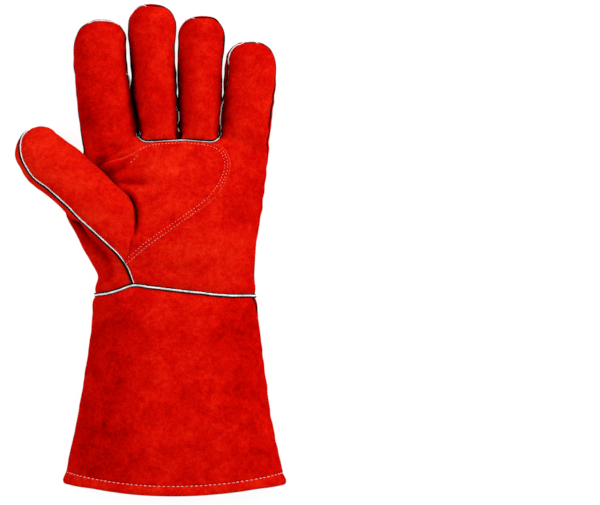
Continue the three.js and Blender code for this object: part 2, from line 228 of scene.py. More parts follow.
def inside_distance(points, outline):
    """Distance to a closed plan outline, positive inside it."""
    closed = np.vstack([outline, outline[:1]])
    inside = np.zeros(len(points), bool)
    x, y = points.T
    for (ax, ay), (bx, by) in zip(closed[:-1], closed[1:]):
        if ay != by:
            inside ^= ((ay > y) != (by > y)) & (x < (bx - ax) * (y - ay) / (by - ay) + ax)
    return np.where(inside, 1, -1) * line_distance(points, closed)


def ripple(points, wavelength, seed, waves=10):
    """Smooth seeded unevenness with a spread of about 1, whose waves have this length."""
    rng = np.random.default_rng(seed)
    total = np.zeros(len(points))
    for _ in range(waves):
        direction = rng.normal(size=3)
        direction /= np.linalg.norm(direction)
        length = wavelength * rng.uniform(0.7, 1.5)
        total += np.sin(points @ direction * (2 * math.pi / length) + rng.uniform(0, 2 * math.pi))
    return total * math.sqrt(2 / waves)


def corner(triangles, start, k):
    """The corner that comes k places after `start` in each triangle."""
    return triangles[np.arange(len(triangles)), (start + k) % 3]


def blended(values, pairs, share):
    """Values this share of the way from the first to the second vertex of each pair."""
    share = share if values.ndim == 1 else share[:, None]
    return values[pairs[:, 0]] * (1 - share) + values[pairs[:, 1]] * share


# Skins: vertices with named columns, and triangles
class Skin:
    def __init__(self, place, faces, **columns):
        self.place = place
        self.faces = faces
        self.columns = columns

    def __getitem__(self, name):
        return self.columns[name]

    def everything(self):
        return {"place": self.place, **self.columns}

    def normals(self):
        a, b, c = (self.place[self.faces[:, k]] for k in range(3))
        face = np.cross(b - a, c - a)
        total = np.zeros_like(self.place)
        for k in range(3):
            for axis in range(3):
                total[:, axis] += np.bincount(self.faces[:, k], face[:, axis], len(self.place))
        return total / np.maximum(np.linalg.norm(total, axis=1, keepdims=True), 1e-9)

    def used(self):
        """Drops the vertices that no triangle uses."""
        keep = np.unique(self.faces)
        slot = np.zeros(len(self.place), int)
        slot[keep] = np.arange(len(keep))
        columns = {name: values[keep] for name, values in self.columns.items()}
        return Skin(self.place[keep], slot[self.faces], **columns)

    def cut(self, level):
        """Keeps the side where level is positive, with a clean edge along its zero line."""
        positive = level > 0
        inside = positive[self.faces]
        count = inside.sum(1)
        one = self.faces[count == 1]
        turn = np.argmax(inside[count == 1], 1)
        two = self.faces[count == 2]
        turn_two = np.argmin(inside[count == 2], 1)
        a0, a1, a2 = (corner(one, turn, k) for k in range(3))
        b0, b1, b2 = (corner(two, turn_two, k) for k in range(3))
        ends = np.vstack([np.stack(e, 1) for e in [(a0, a1), (a0, a2), (b0, b1), (b0, b2)]])
        ends.sort(axis=1)
        edges, index = np.unique(ends, axis=0, return_inverse=True)
        index = index.ravel() + len(self.place)
        n, m = len(a0), len(b0)
        a01, a02 = index[:n], index[n : 2 * n]
        b01, b02 = index[2 * n : 2 * n + m], index[2 * n + m :]
        share = level[edges[:, 0]] / (level[edges[:, 0]] - level[edges[:, 1]])
        made = {
            name: np.concatenate([values, blended(values, edges, share)])
            for name, values in self.everything().items()
        }
        faces = np.vstack([
            self.faces[count == 3],
            np.stack([a0, a01, a02], 1),
            np.stack([b1, b2, b02], 1),
            np.stack([b1, b02, b01], 1),
        ])
        return Skin(made.pop("place"), faces, **made).used()

    def rim(self):
        """The directed edges that only one triangle uses."""
        edges = np.vstack([self.faces[:, [0, 1]], self.faces[:, [1, 2]], self.faces[:, [2, 0]]])
        key = np.sort(edges, 1)
        _, index, count = np.unique(key, axis=0, return_inverse=True, return_counts=True)
        return edges[count[index.ravel()] == 1]

    def largest(self):
        """Drops crumbs: keeps the part with the most triangles."""
        label = np.arange(len(self.place))
        edges = np.vstack([self.faces[:, [0, 1]], self.faces[:, [1, 2]]])
        while True:
            before = label.copy()
            low = np.minimum(label[edges[:, 0]], label[edges[:, 1]])
            np.minimum.at(label, edges[:, 0], low)
            np.minimum.at(label, edges[:, 1], low)
            label = label[label]
            if (label == before).all():
                break
        face_label = label[self.faces[:, 0]]
        winner = np.bincount(face_label).argmax()
        return Skin(self.place, self.faces[face_label == winner], **self.columns).used()


def seam_path(skin, level, *conditions):
    """The lines where level is zero and every condition is positive, as dictionaries of ordered columns."""
    sign = level > 0
    columns = {**skin.everything(), "normal": skin.normals()}
    edges = {}
    links = {}
    for tri in skin.faces[(sign[skin.faces].sum(1) % 3) != 0]:
        ends = []
        for a, b in ((tri[0], tri[1]), (tri[1], tri[2]), (tri[2], tri[0])):
            if sign[a] != sign[b]:
                ends.append(edges.setdefault((min(a, b), max(a, b)), len(edges)))
        links.setdefault(ends[0], []).append(ends[1])
        links.setdefault(ends[1], []).append(ends[0])
    pair = np.array(list(edges))
    share = level[pair[:, 0]] / (level[pair[:, 0]] - level[pair[:, 1]])
    facing = np.where(sign[pair[:, 1]], 1, -1)[:, None]
    across = (skin.place[pair[:, 1]] - skin.place[pair[:, 0]]) * facing
    allowed = np.ones(len(pair), bool)
    for condition in conditions:
        allowed &= blended(condition, pair, share) > 0
    chains = []
    seen = set()
    starts = sorted(links, key=lambda k: len([n for n in links[k] if allowed[n]]) != 1)
    for start in starts:
        if start in seen or not allowed[start]:
            continue
        chain = [start]
        seen.add(start)
        while True:
            ahead = [k for k in links[chain[-1]] if k not in seen and allowed[k]]
            if not ahead:
                break
            chain.append(ahead[0])
            seen.add(ahead[0])
        closed = len(chain) > 8 and start in links[chain[-1]]
        if len(chain) > 8:
            order = chain + chain[:1] if closed else chain
            run = {name: blended(values, pair, share)[order] for name, values in columns.items()}
            chains.append({**run, "across": across[order]})
    return chains


def tube_skin(rings):
    """Closed triangles over rings of points, with a fan on each end."""
    count, sides, _ = rings.shape
    around = np.arange(sides)
    ahead = (around + 1) % sides
    faces = []
    for r in range(count - 1):
        a, b = r * sides + around, r * sides + ahead
        faces += [np.stack([a, b, b + sides], 1), np.stack([a, b + sides, a + sides], 1)]
    first, last = count * sides, count * sides + 1
    end = (count - 1) * sides
    faces.append(np.stack([ahead, around, np.full(sides, first)], 1))
    faces.append(np.stack([end + around, end + ahead, np.full(sides, last)], 1))
    place = np.vstack([rings.reshape(-1, 3), rings[:1].mean(1), rings[-1:].mean(1)])
    return Skin(place, np.vstack(faces))


def fuller(wave, fullness):
    """A sine or cosine, changed from a circle's to a superellipse's."""
    return np.sign(wave) * np.abs(wave) ** (2 / fullness)


def ring(centre, side, half, up, down, fullness, sides, shrink=1.0):
    """A superellipse across the direction `side`, flattened where it meets the table."""
    angle = 2 * math.pi * (np.arange(sides) + 0.5) / sides
    across = fuller(np.cos(angle), fullness) * half * shrink
    height = fuller(np.sin(angle), fullness) * np.where(np.sin(angle) > 0, up, down) * shrink
    x = centre[0] + side[0] * across
    y = centre[1] + side[1] * across
    return np.stack([x, y, np.maximum(0, centre[2] + height)], 1)


TIP_ANGLES = np.linspace(0.98, 0.0, 12, endpoint=False) * math.pi / 2


def tip_rings(power):
    """How far forward each ring of a rounded tip lies, and how wide it is."""
    return [(math.sin(a) ** (2 / power), math.cos(a) ** (2 / power)) for a in TIP_ANGLES]


def hand_tube(sections, fullness, sides):
    """A tube along y. A section has its middle's x and y, half width, top and how far it is shrunk."""
    return tube_skin(np.array([
        ring((x, y, CORE_Z), (1, 0), half, top - CORE_Z, BACK_DEPTH, fullness, sides, shrink)
        for x, y, half, top, shrink in sections
    ]))


def body_tube():
    sections = [
        ((left + right) / 2, y, (right - left) / 2, top, 1.0) for y, left, right, top in smooth(BODY, 6)
    ]
    return hand_tube(sections, BODY_FULLNESS, BODY_SIDES)


def finger_tube(tip, rows):
    x, y, half, top = rows[0]
    sections = [
        (x + (tip[0] - x) * t, y + (tip[1] - y) * t, half, top, shrink) for t, shrink in tip_rings(TIP_POWER)
    ]
    sections += [(*row, 1.0) for row in smooth(rows, 10)]
    return hand_tube(sections, FINGER_FULLNESS, FINGER_SIDES)


def finger_side(name, side, y):
    """Where a finger's right side (1) or left side (-1) runs at each y."""
    rows = FINGERS[name][1][::-1]
    return np.interp(y, [row[1] for row in rows], [row[0] + side * row[2] for row in rows])


def gap_between(left, right, y):
    """The middle of the gap between two neighbouring fingers at each y."""
    return (finger_side(left, 1, y) + finger_side(right, -1, y)) / 2


def spread(place, back=False):
    """Moves the fingers apart above the crotches, or back again."""
    x, y = place[:, 0], place[:, 1]
    share = FINGER_SPREAD * ease(y, SPREAD_START, SPREAD_END)
    half = 0.5  # of the narrow strip that is stretched or closed between two fingers
    moved = x.copy()
    for k, (left, right, *_) in enumerate(PRESSED):
        gap = gap_between(left, right, y)
        if back:
            before = share * (k - 1.5)
            t = np.clip((x - (gap + before - half)) / (2 * half + share), 0, 1)
            moved = moved - share * t
        else:
            moved = moved + share * np.clip((x - gap + half) / (2 * half), 0, 1)
    centring = 1.5 * share
    result = place.copy()
    result[:, 0] = moved + centring if back else moved - centring
    return result


def mesh_of(name, place, faces):
    mesh = bpy.data.meshes.new(name)
    mesh.from_pydata((place * MM).tolist(), [], faces.tolist())
    return mesh


def merged_skin(tubes):
    """One skin round overlapping tubes."""
    place = np.vstack([t.place for t in tubes])
    offsets = np.cumsum([0] + [len(t.place) for t in tubes[:-1]])
    faces = np.vstack([t.faces + o for t, o in zip(tubes, offsets)])
    obj = bpy.data.objects.new("tubes", mesh_of("tubes", place, faces))
    bpy.context.scene.collection.objects.link(obj)
    remesh = obj.modifiers.new("remesh", "REMESH")
    remesh.mode = "VOXEL"
    remesh.voxel_size = VOXEL * MM
    mesh = obj.evaluated_get(bpy.context.evaluated_depsgraph_get()).to_mesh()
    mesh.calc_loop_triangles()
    place = np.zeros(len(mesh.vertices) * 3)
    mesh.vertices.foreach_get("co", place)
    faces = np.zeros(len(mesh.loop_triangles) * 3, int)
    mesh.loop_triangles.foreach_get("vertices", faces)
    bpy.data.objects.remove(obj)
    return Skin(place.reshape(-1, 3) / MM, faces.reshape(-1, 3))


def relax(place, faces):
    """Evens out a skin. Every second round swells it by what the one before shrank it."""
    edges = np.unique(np.sort(np.vstack([faces[:, [0, 1]], faces[:, [1, 2]], faces[:, [2, 0]]]), 1), axis=0)
    a, b = edges.T
    n = len(place)
    degree = np.bincount(a, minlength=n) + np.bincount(b, minlength=n)
    place = place.copy()
    for step in range(RELAX_ROUNDS):
        total = np.stack([
            np.bincount(a, place[b, k], n) + np.bincount(b, place[a, k], n) for k in range(3)
        ], 1)
        amount = -0.53 if step % 2 else 0.5
        place += amount * (total / degree[:, None] - place)
    return place


def hand_skin():
    tubes = [body_tube()] + [finger_tube(*finger) for finger in FINGERS.values()]
    for tube in tubes:
        tube.place = spread(tube.place)
    skin = merged_skin(tubes)
    skin.place = spread(relax(skin.place, skin.faces), back=True)
    return skin


# Seams as plan curves
wrist = smooth(WRIST_LINE, 8)
thumb_root = smooth(THUMB_ROOT_LINE, 6)
knuckles = smooth(KNUCKLE_LINE, 6)
patch_edge = smooth(PATCH_OUTLINE + PATCH_OUTLINE[:1], 6)[:-1]


def wrist_y(x):
    return np.interp(x, wrist[:, 0], wrist[:, 1])


palm_area = np.vstack([
    wrist[wrist[:, 0] > thumb_root[-1, 0]], [(FAR, -34), (FAR, FAR), (-70, FAR)], UNDER_THUMB, thumb_root,
])


def knuckle_area():
    up = np.linspace(93, FAR, 30)
    right = np.stack([gap_between("ring", "little", up), up], 1)
    left = np.stack([gap_between("index", "middle", up), up], 1)[::-1]
    return np.vstack([knuckles, right, left])


def hem_distance(points, edge):
    """Distance above the hem's arc whose middle is at `edge`."""
    return HEM_RADIUS - np.linalg.norm(points - [HEM_CENTRE_X, edge + HEM_RADIUS], axis=1)


FINGER_DROP = 1.5  # along the fingers' sides the seam lies this far under the hand's seam
EDGE_DROP = 3.5  # and this far under the palm's edge on the little finger's side
# Where it climbs to the front, at the tips, beside the little finger and below the wrist: x, y, reach, climb
SEAM_CLIMBS = [
    (-36.2, 167.0, 12, 4.5),
    (0.9, 178.3, 12, 4.5),
    (36.9, 169.6, 12, 4.5),
    (72.6, 151.6, 12, 2.0),
    (88.5, 98.0, 20, 4.4),
    (76.5, -38.0, 6, 5.5),
]
LITTLE_CLIMBS = [(55.0, 143.0, 11, 4.4), (53.5, 125.0, 12, 5.8)]  # on the little finger's inner side only
THUMB_CLIMB = 6.0  # how far the thumb's seam climbs to the front round the outer side of its tip


def seam_height(points):
    x, y = points.T
    drop = EDGE_DROP * (1 - ease(y, 45, 75)) * ease(y, -34, -20) * (x > HEM_CENTRE_X)
    little = x > gap_between("ring", "little", y)
    climb = spots(points, SEAM_CLIMBS) + spots(points, LITTLE_CLIMBS) * little
    return SEAM_Z - FINGER_DROP * ease(y, 72, 95) + climb - drop


def thumb_skin():
    """The thumb's tube, with its height above the bent seam."""
    rows = smooth(THUMB, 12)
    rings, levels = [], []

    def section(row, shift=(0, 0), shrink=1.0, tip_share=0.0):
        outer, inner = row[:2], row[2:4]
        side = (inner - outer) / np.linalg.norm(inner - outer)
        middle = (outer + inner) / 2
        half = np.linalg.norm(inner - outer) / 2
        centre = (middle[0] + shift[0], middle[1] + shift[1], row[4])
        points = ring(centre, side, half, row[5], row[5], FINGER_FULLNESS, THUMB_SIDES, shrink)
        turn = math.radians(row[6])
        up = np.array([side[0] * math.sin(turn), side[1] * math.sin(turn), math.cos(turn)])
        outer_side = 0.5 - 0.5 * ((points - centre)[:, :2] @ side) / half
        rings.append(points)
        levels.append((points - centre) @ up - THUMB_CLIMB * tip_share * outer_side)

    bulb = rows[0]
    reach = np.array(THUMB_TIP) - (bulb[:2] + bulb[2:4]) / 2
    for t, shrink in tip_rings(THUMB_TIP_POWER):
        section(bulb, reach * t, shrink, t)
    for row in rows:
        section(row)
    skin = tube_skin(np.array(rings))
    ends = [levels[0].mean(), levels[-1].mean()]
    skin.columns["seam"] = np.concatenate([np.concatenate(levels), ends])
    return skin


def tree_of(skin):
    return BVHTree.FromPolygons(skin.place.tolist(), skin.faces.tolist())


def outside_of(tree, points):
    """Distance outside a closed skin, negative inside it."""
    result = np.zeros(len(points))
    for n, point in enumerate(points):
        place, normal, _, distance = tree.find_nearest(point)
        result[n] = math.copysign(distance, (Vector(point) - place).dot(normal))
    return result


hand = hand_skin()
thumb = thumb_skin()
plan = hand.place[:, :2]
hand_normal = hand.normals()
hand.columns.update(
    side=hand.place[:, 2] - seam_height(plan),
    wrist=plan[:, 1] - wrist_y(plan[:, 0]),
    palm=inside_distance(plan, palm_area),
    knuckle=inside_distance(plan, knuckle_area()),
    patch=inside_distance(plan, patch_edge),
    split=plan[:, 0] - gap_between("middle", "ring", plan[:, 1]),
    stitch=hem_distance(plan, HEM_EDGE_Y + HEM_WIDTH),
    hem=hem_distance(plan, HEM_EDGE_Y),
)
near_thumb = (plan[:, 0] < 5) & (plan[:, 1] > -40) & (plan[:, 1] < 100)
hand.columns["thumb"] = np.full(len(plan), 50.0)  # elsewhere, any distance well clear of the thumb does
hand["thumb"][near_thumb] = outside_of(tree_of(thumb), hand.place[near_thumb])
hand.columns["front"] = np.minimum(hand["side"], hand["palm"])


# Creases, folds and unevenness
SEAM_DEPTH = 1.1
SEAM_REACH = 2.4
THUMB_SEAM_DEPTH = 0.9
WRIST_DEPTH = 1.3
WRIST_REACH = 2.6
WRIST_ROLLS = 0.5  # the leather stands this far up on both sides of the wrist's crease
FINGER_FILL = 0.5
SLIT_DEPTH = 0.65
CROTCH_DEPTH = 3.6
CUFF_FILL = 2.0
CUFF_DIP = 5.5  # on the thumb's side the cuff sinks behind the wrist
SLACK_WAVES = [(0.45, 75, 1), (0.28, 30, 2)]  # height, wavelength and seed
FINE_WAVES = [(0.1, 11, 3)]
PUCKER_WAVES = [(0.22, 8, 4)]
THUMB_WAVES = [(0.35, 45, 11), (0.2, 20, 12), (0.08, 8, 13)]
FOLDS = [  # on the palm side: depth (a ridge where negative), width, painted shade (painted light where positive), and the line in plan
    (3.0, 3.6, -0.1, [(-50, 62), (-43, 62), (-37.5, 65)]),
    (2.8, 3.4, -0.04, [(-37.5, 65), (-33, 70), (-26, 73)]),
    (1.8, 3.0, -0.06, [(-26, 73), (-20, 75), (-14, 77)]),
    (-1.2, 2.2, 0.05, [(-27, 68.6), (-19, 70.3), (-12, 73.2)]),
    (2.6, 3.6, -0.19, [(-41, 58.5), (-34, 56.5), (-27, 57.5), (-20, 61)]),
    (-1.3, 2.6, 0.02, [(-25.5, 52.4), (-16.5, 60.5), (-8, 68)]),
    (3.0, 3.6, -0.23, [(-28, 50), (-22, 49.8), (-14, 49), (-6, 49)]),
    (-1.6, 2.8, 0.06, [(-21, 45.6), (-12, 44.6), (-3, 43.5)]),
    (1.3, 5.0, -0.04, [(-13, 22), (-14.5, 8), (-15.5, -2)]),
]
OUTER_FOLDS = [  # behind the thumb's seam
    (3.0, 4.2, -0.22, [(-52.9, 17.6), (-44.5, 6.7), (-36.5, -0.5), (-31, -7.5)]),
    (0.9, 2.6, -0.12, [(-28.5, -15), (-30, -22)]),
    (-0.9, 2.4, 0.03, [(-26, -24), (-34, -26)]),
]
THUMB_CREASE = (6, 14, 40, 47)  # the deep crease beside the thumb starts, is deep, and ends at these y
BLEND = 8.0  # how far the thumb's root flows into the palm
CROTCH = (20.6, 82.5)  # the crevice between middle and ring finger runs on down to the knuckle seam
on_hand = ease(hand["wrist"], 0, 3)
top = ease(hand.place[:, 2], 14, 20)


def waves(skin, rows):
    """Unevenness of several sizes: height, wavelength and seed."""
    return sum(height * ripple(skin.place, wavelength, seed) for height, wavelength, seed in rows)


def along_folds(points, folds, amounts):
    """The folds' amounts, each full on its fold's line and falling to nothing beside it."""
    lines = [bump(line_distance(points, smooth(line, 6)), width) for _, width, _, line in folds]
    return sum(amount * line for amount, line in zip(amounts, lines))


def folded(points, folds):
    return along_folds(points, folds, [-depth for depth, _, _, _ in folds])


# Painted shade in the folds and painted light along the ridges
def light_and_shade_in_folds(points, folds):
    return along_folds(points, folds, [nap for _, _, nap, _ in folds])


def in_crotch(points):
    return bump(np.hypot((points[:, 0] - CROTCH[0]) / 1.4, (points[:, 1] - CROTCH[1]) / 3.2), 1)


def flowing(distance, y):
    """How far a skin swells where it nears the other one, so that thumb and palm meet smoothly."""
    return np.maximum(BLEND - np.abs(distance), 0) ** 2 / (4 * BLEND) * (1 - ease(y, 6, 20))


def between_fingers(points):
    """1 on the line between neighbouring fingers' roots, falling to nothing beside it and above it."""
    x, y = points.T
    near = [
        bump(x - gap_between(left, right, y), 5) * (1 - ease(y, touch_end + 5, touch_end + 20))
        for left, right, touch_end, _, _ in PRESSED
    ]
    return np.max(near, 0) * ease(y, 82, 88)


def beside_slits(points):
    """1 where the index, middle and ring fingers' sides fall back from each other, above where they touch."""
    x, y = points.T
    near = [
        bump(x - gap_between(left, right, y), 6) * ease(y, touch_end - 5, touch_end + 5)
        for left, right, touch_end, _, _ in PRESSED[:2]
    ]
    return np.max(near, 0) * (1 - ease(y, 150, 160))


def hand_relief():
    """How far each place of the hand's skin stands out, or sinks where it is negative."""
    x, y = plan.T
    side_seam = np.abs(hand["side"])
    has_side_seam = np.where(hand["wrist"] > 0, ease(hand["palm"], -3, 1), (x > HEM_CENTRE_X) * 1.0)
    kept_outline = bump(side_seam, 9)  # near the side seam, slack and crease spare the glove's outline

    relief = -SEAM_DEPTH * bump(side_seam, SEAM_REACH) * has_side_seam * (1 - 0.4 * between_fingers(plan))
    relief -= WRIST_DEPTH * bump(hand["wrist"], WRIST_REACH) * (1 - 0.25 * kept_outline)
    relief += WRIST_ROLLS * bump(np.abs(hand["wrist"]) - 7, 4)
    for seam in (hand["knuckle"], line_distance(plan, thumb_root)):
        relief -= SEAM_DEPTH * bump(seam, SEAM_REACH) * top

    beside_thumb = bump(np.maximum(hand["thumb"], 0), 2.8) * on_hand * top * ease(y, 4, 16)
    relief -= (1.0 + 5 * stretch(y, *THUMB_CREASE)) * beside_thumb
    relief += flowing(hand["thumb"], y) * on_hand
    relief += FINGER_FILL * ease(y, 85, 110) - SLIT_DEPTH * beside_slits(plan)
    relief -= CROTCH_DEPTH * in_crotch(plan) * top

    relief += waves(hand, SLACK_WAVES) * (1 - 0.8 * kept_outline) + waves(hand, FINE_WAVES)
    pucker = np.minimum(side_seam + 12 * (1 - has_side_seam), np.abs(hand["knuckle"]) + 3 * (1 - top))
    relief += waves(hand, PUCKER_WAVES) * bump(np.minimum(pucker, np.abs(hand["wrist"])), 5)

    hollow = (plan - HOLLOW_PLACE) / HOLLOW_REACH
    relief -= HOLLOW_DEPTH * np.exp(-(hollow**2).sum(1)) * top
    relief += folded(plan, FOLDS) * top + folded(plan, OUTER_FOLDS) * ease(hand.place[:, 2], 15, 23)
    cuff_fill = CUFF_FILL - CUFF_DIP * (1 - ease(x, -48, 12))
    return relief + cuff_fill * (1 - on_hand) * top * ease(-hand["wrist"], 2, 25)


def press_fingers(place):
    """Swells the roots of neighbouring fingers until they touch, below their rounded fronts."""
    x, y, z = place.T
    pressed = place.copy()
    for left, right, touch_end, near_share, near_end in PRESSED:
        share = 1 - (1 - near_share) * ease(y, touch_end - 3, touch_end + 2)
        share *= 1 - ease(y, near_end - 8, near_end + 4)
        swell = 1.7 * share * ease(y, 80, 84) * (1 - ease(z, 10, 17))
        gap = gap_between(left, right, y)
        aside = x - gap
        near = (np.abs(aside) < 6) & (swell > 0)
        moved = np.sign(aside) * np.maximum(np.abs(aside) - swell, 0.03)
        pressed[near, 0] = (gap + moved)[near]
    return pressed


uncreased = Skin(hand.place, hand.faces)
hand.place = hand.place + hand_normal * hand_relief()[:, None]
hand.place = press_fingers(hand.place)
hand.place[:, 2] = np.maximum(hand.place[:, 2], TABLE_GAP)

thumb_normal = thumb.normals()
thumb_relief = -THUMB_SEAM_DEPTH * bump(thumb["seam"], 2.2) + waves(thumb, THUMB_WAVES)
thumb_relief += flowing(outside_of(tree_of(uncreased), thumb.place), thumb.place[:, 1])
thumb_relief += folded(thumb.place[:, :2], OUTER_FOLDS) * (thumb["seam"] < 0)
thumb.place = thumb.place + thumb_normal * thumb_relief[:, None]
thumb.place[:, 2] = np.maximum(thumb.place[:, 2], TABLE_GAP)
thumb.columns["hand"] = outside_of(tree_of(hand), thumb.place)

# Painted light and shade, carried in the nap attribute: paler above 0, darker below it
# Soft patches of painted shade where the glove turns from the lamps or sinks into folds, and of painted light
LIGHT_AND_SHADE_PATCHES = [  # x, y, reach and amount
    (-30, -60, 24, -0.07),
    (-32, -95, 26, -0.09),
    (-36, -130, 28, -0.09),
    (-38, -160, 28, -0.1),
    (20, -165, 40, -0.04),
    (40, -100, 40, -0.03),
    (-38, 100, 16, -0.08),
    (-40, 128, 12, -0.04),
    (-42, 85, 12, -0.06),
    (-4, 100, 10, -0.04),
    (-5, 130, 8, -0.04),
    (28, 100, 8, -0.03),
    (72, 30, 26, -0.06),
    (14, 55, 26, 0.05),
    (80, -150, 22, -0.08),
    (76, -100, 22, -0.08),
    (72, -60, 20, -0.06),
    (-39, 64, 8, -0.11),
    (-31, 68, 7, -0.07),
    (-31, 56, 6, -0.12),
    (-19, 51, 7, -0.05),
    (52, 3, 22, 0.05),
    (28, -11, 16, 0.04),
    (-24, -52, 16, -0.06),
    (60, -52, 22, -0.07),
]
# Painted light: the thumb is painted paler all over, and more towards its tip
THUMB_LIGHT = 0.03  # all over the thumb
THUMB_TIP_LIGHT = [(-78, 70, 16, 0.05)]
FINGER_SHADE = 0.09
CREVICE_SHADES = (0.4, 0.38, 0.22)  # in the same order as the pressed fingers
CREASE_SHADE = (6, 22, 39, 47)  # in the thumb's crease it starts, is full, fades and ends at these y
THUMB_SHADE = (8, 20, 39, 47)  # and on the thumb beside it


def shade_on_fingers():
    """Painted shade: each finger is darker on its thumb side, the side turned from the key light."""
    x, y, _ = hand.place.T
    total = np.zeros(len(x))
    for name in FINGERS:
        left, right = (finger_side(name, side, y) for side in (-1, 1))
        aside = (2 * x - left - right) / (right - left)
        total -= FINGER_SHADE * (1 - ease(aside, -0.9, 0.1)) * (np.abs(aside) < 1.08)
    return total * ease(y, 84, 92)


def shade_in_crevices():
    """Painted shade between the fingers and in the crotch, most on the side turned to the thumb."""
    x, y, z = hand.place.T
    total = -0.35 * in_crotch(plan)
    # Each crevice's painted shade on the side turned to the thumb, and less on the other side
    for (left, right, touch_end, _, _), pressed in zip(PRESSED, CREVICE_SHADES):
        aside = x - gap_between(left, right, y)
        low = (1 - ease(z, 20, 27)) * stretch(y, 80, 86, touch_end + 10, touch_end + 45)
        total -= np.where(aside > 0, pressed, 0.12) * bump(aside, 5.8) * low
    return total


# Painted shade in the deep crease beside the thumb
def shade_in_thumb_crease():
    return -0.9 * bump(np.maximum(hand["thumb"], 0), 3.2) * stretch(plan[:, 1], *CREASE_SHADE) * top


# On the thumb: painted light all over and at the tip, painted shade in the folds behind its seam and on its
# front beside the crease
def light_and_shade_on_thumb():
    shade_beside_hand = bump(np.maximum(thumb["hand"], 0), 2.0) * stretch(thumb.place[:, 1], *THUMB_SHADE)
    back = light_and_shade_in_folds(thumb.place[:, :2], OUTER_FOLDS) * (thumb["seam"] < 0)
    return THUMB_LIGHT + spots(thumb.place, THUMB_TIP_LIGHT) + back - 0.35 * shade_beside_hand * (thumb["seam"] > 4)


# The nap attribute: the painted light and shade above, added together
hand.columns["nap"] = spots(hand.place, LIGHT_AND_SHADE_PATCHES) + shade_on_fingers() + shade_in_crevices()
hand.columns["nap"] += light_and_shade_in_folds(plan, FOLDS) * top + light_and_shade_in_folds(plan, OUTER_FOLDS)
hand.columns["nap"] += shade_in_thumb_crease()
thumb.columns["nap"] = light_and_shade_on_thumb()


# Materials
def linear(code):
    """Linear colour from an sRGB hex value."""
    values = [int(code[k : k + 2], 16) / 255 for k in (1, 3, 5)]
    return [v / 12.92 if v <= 0.04045 else ((v + 0.055) / 1.055) ** 2.4 for v in values] + [1.0]


def add(tree, kind, inputs=None, **settings):
    """Adds a node with its settings; an input is a value or an output to link from."""
    node = tree.nodes.new(kind)
    for name, value in settings.items():
        setattr(node, name, value)
    for key, value in (inputs or {}).items():
        socket = node.inputs[key]
        if isinstance(value, bpy.types.NodeSocket):
            tree.links.new(value, socket)
        else:
            socket.default_value = value
    return node


def new_material(name, **inputs):
    material = bpy.data.materials.new(name)
    material.use_nodes = True
    tree = material.node_tree
    tree.nodes.clear()
    shader = add(tree, "ShaderNodeBsdfPrincipled", inputs)
    add(tree, "ShaderNodeOutputMaterial", {"Surface": shader.outputs[0]})
    return material, tree, shader


def millimetres(tree):
    """The surface's place, in millimetres."""
    inputs = {0: add(tree, "ShaderNodeTexCoord").outputs["Object"], 1: (1 / MM, 1 / MM, 1 / MM)}
    return add(tree, "ShaderNodeVectorMath", inputs, operation="MULTIPLY").outputs[0]


def ramp(tree, factor, stops):
    node = add(tree, "ShaderNodeValToRGB", {"Fac": factor})
    elements = node.color_ramp.elements
    while len(elements) < len(stops):
        elements.new(0.5)
    for element, (position, colour) in zip(elements, stops):
        element.position = position
        element.color = colour
    return node.outputs["Color"]


def noise(tree, place, size, detail=3.0, roughness=0.6, distortion=0.0):
    """Noise whose patches are about `size` millimetres across."""
    inputs = {"Detail": detail, "Roughness": roughness, "Distortion": distortion}
    return add(tree, "ShaderNodeTexNoise", {"Vector": place, "Scale": 1 / size, **inputs}).outputs["Fac"]


BLOTCH = 14  # millimetres across a patch that took the dye unevenly
NAP = 3.2  # and across a tuft of nap that was brushed one way
GRIT = 0.9  # fibres are about 0.1 mm across, and are drawn this coarse so that they show


def suede(name, pressed, shaded, deep, bright, pale, edge_highlight):
    """Cowhide split, drum-dyed red and buffed: its short nap lies both ways, so it looks mottled and has no
    gloss. The nap attribute paints shade and light into it: darker in creases, crevices, folds and on sides
    turned from the lamps, paler where the glove catches the light."""
    material, tree, shader = new_material(name, Roughness=0.92, **{"Specular IOR Level": 0.0})
    place = millimetres(tree)
    blotch = noise(tree, place, BLOTCH, 4, 0.65, 0.4)
    nap = noise(tree, place, NAP, 5, 0.75, 0.6)
    grit = noise(tree, place, GRIT, 2, 0.7)
    mixed = add(tree, "ShaderNodeAttribute", attribute_name="nap").outputs["Fac"]
    for pattern, share in ((blotch, 0.38), (nap, 0.44), (grit, 0.26)):
        inputs = {0: pattern, 1: share, 2: mixed}
        mixed = add(tree, "ShaderNodeMath", inputs, operation="MULTIPLY_ADD").outputs[0]
    # The two darkest stops are painted shade, the last a painted highlight along the patch's edge
    stops = [
        (0.05, linear(pressed)), (0.28, linear(shaded)), (0.41, linear(deep)), (0.53, linear(bright)),
        (0.68, linear(pale)), (0.95, linear(edge_highlight)),
    ]
    tree.links.new(ramp(tree, mixed, stops), shader.inputs["Base Color"])
    height = add(tree, "ShaderNodeMath", {0: grit, 1: 0.35, 2: nap}, operation="MULTIPLY_ADD").outputs[0]
    relief = add(tree, "ShaderNodeBump", {"Strength": 0.35, "Distance": 0.0006, "Height": height})
    tree.links.new(relief.outputs[0], shader.inputs["Normal"])
    return material


SOILED = 5  # millimetres along a stretch that was handled
WRINKLE = 1.2  # and between the small wrinkles of a folded strip


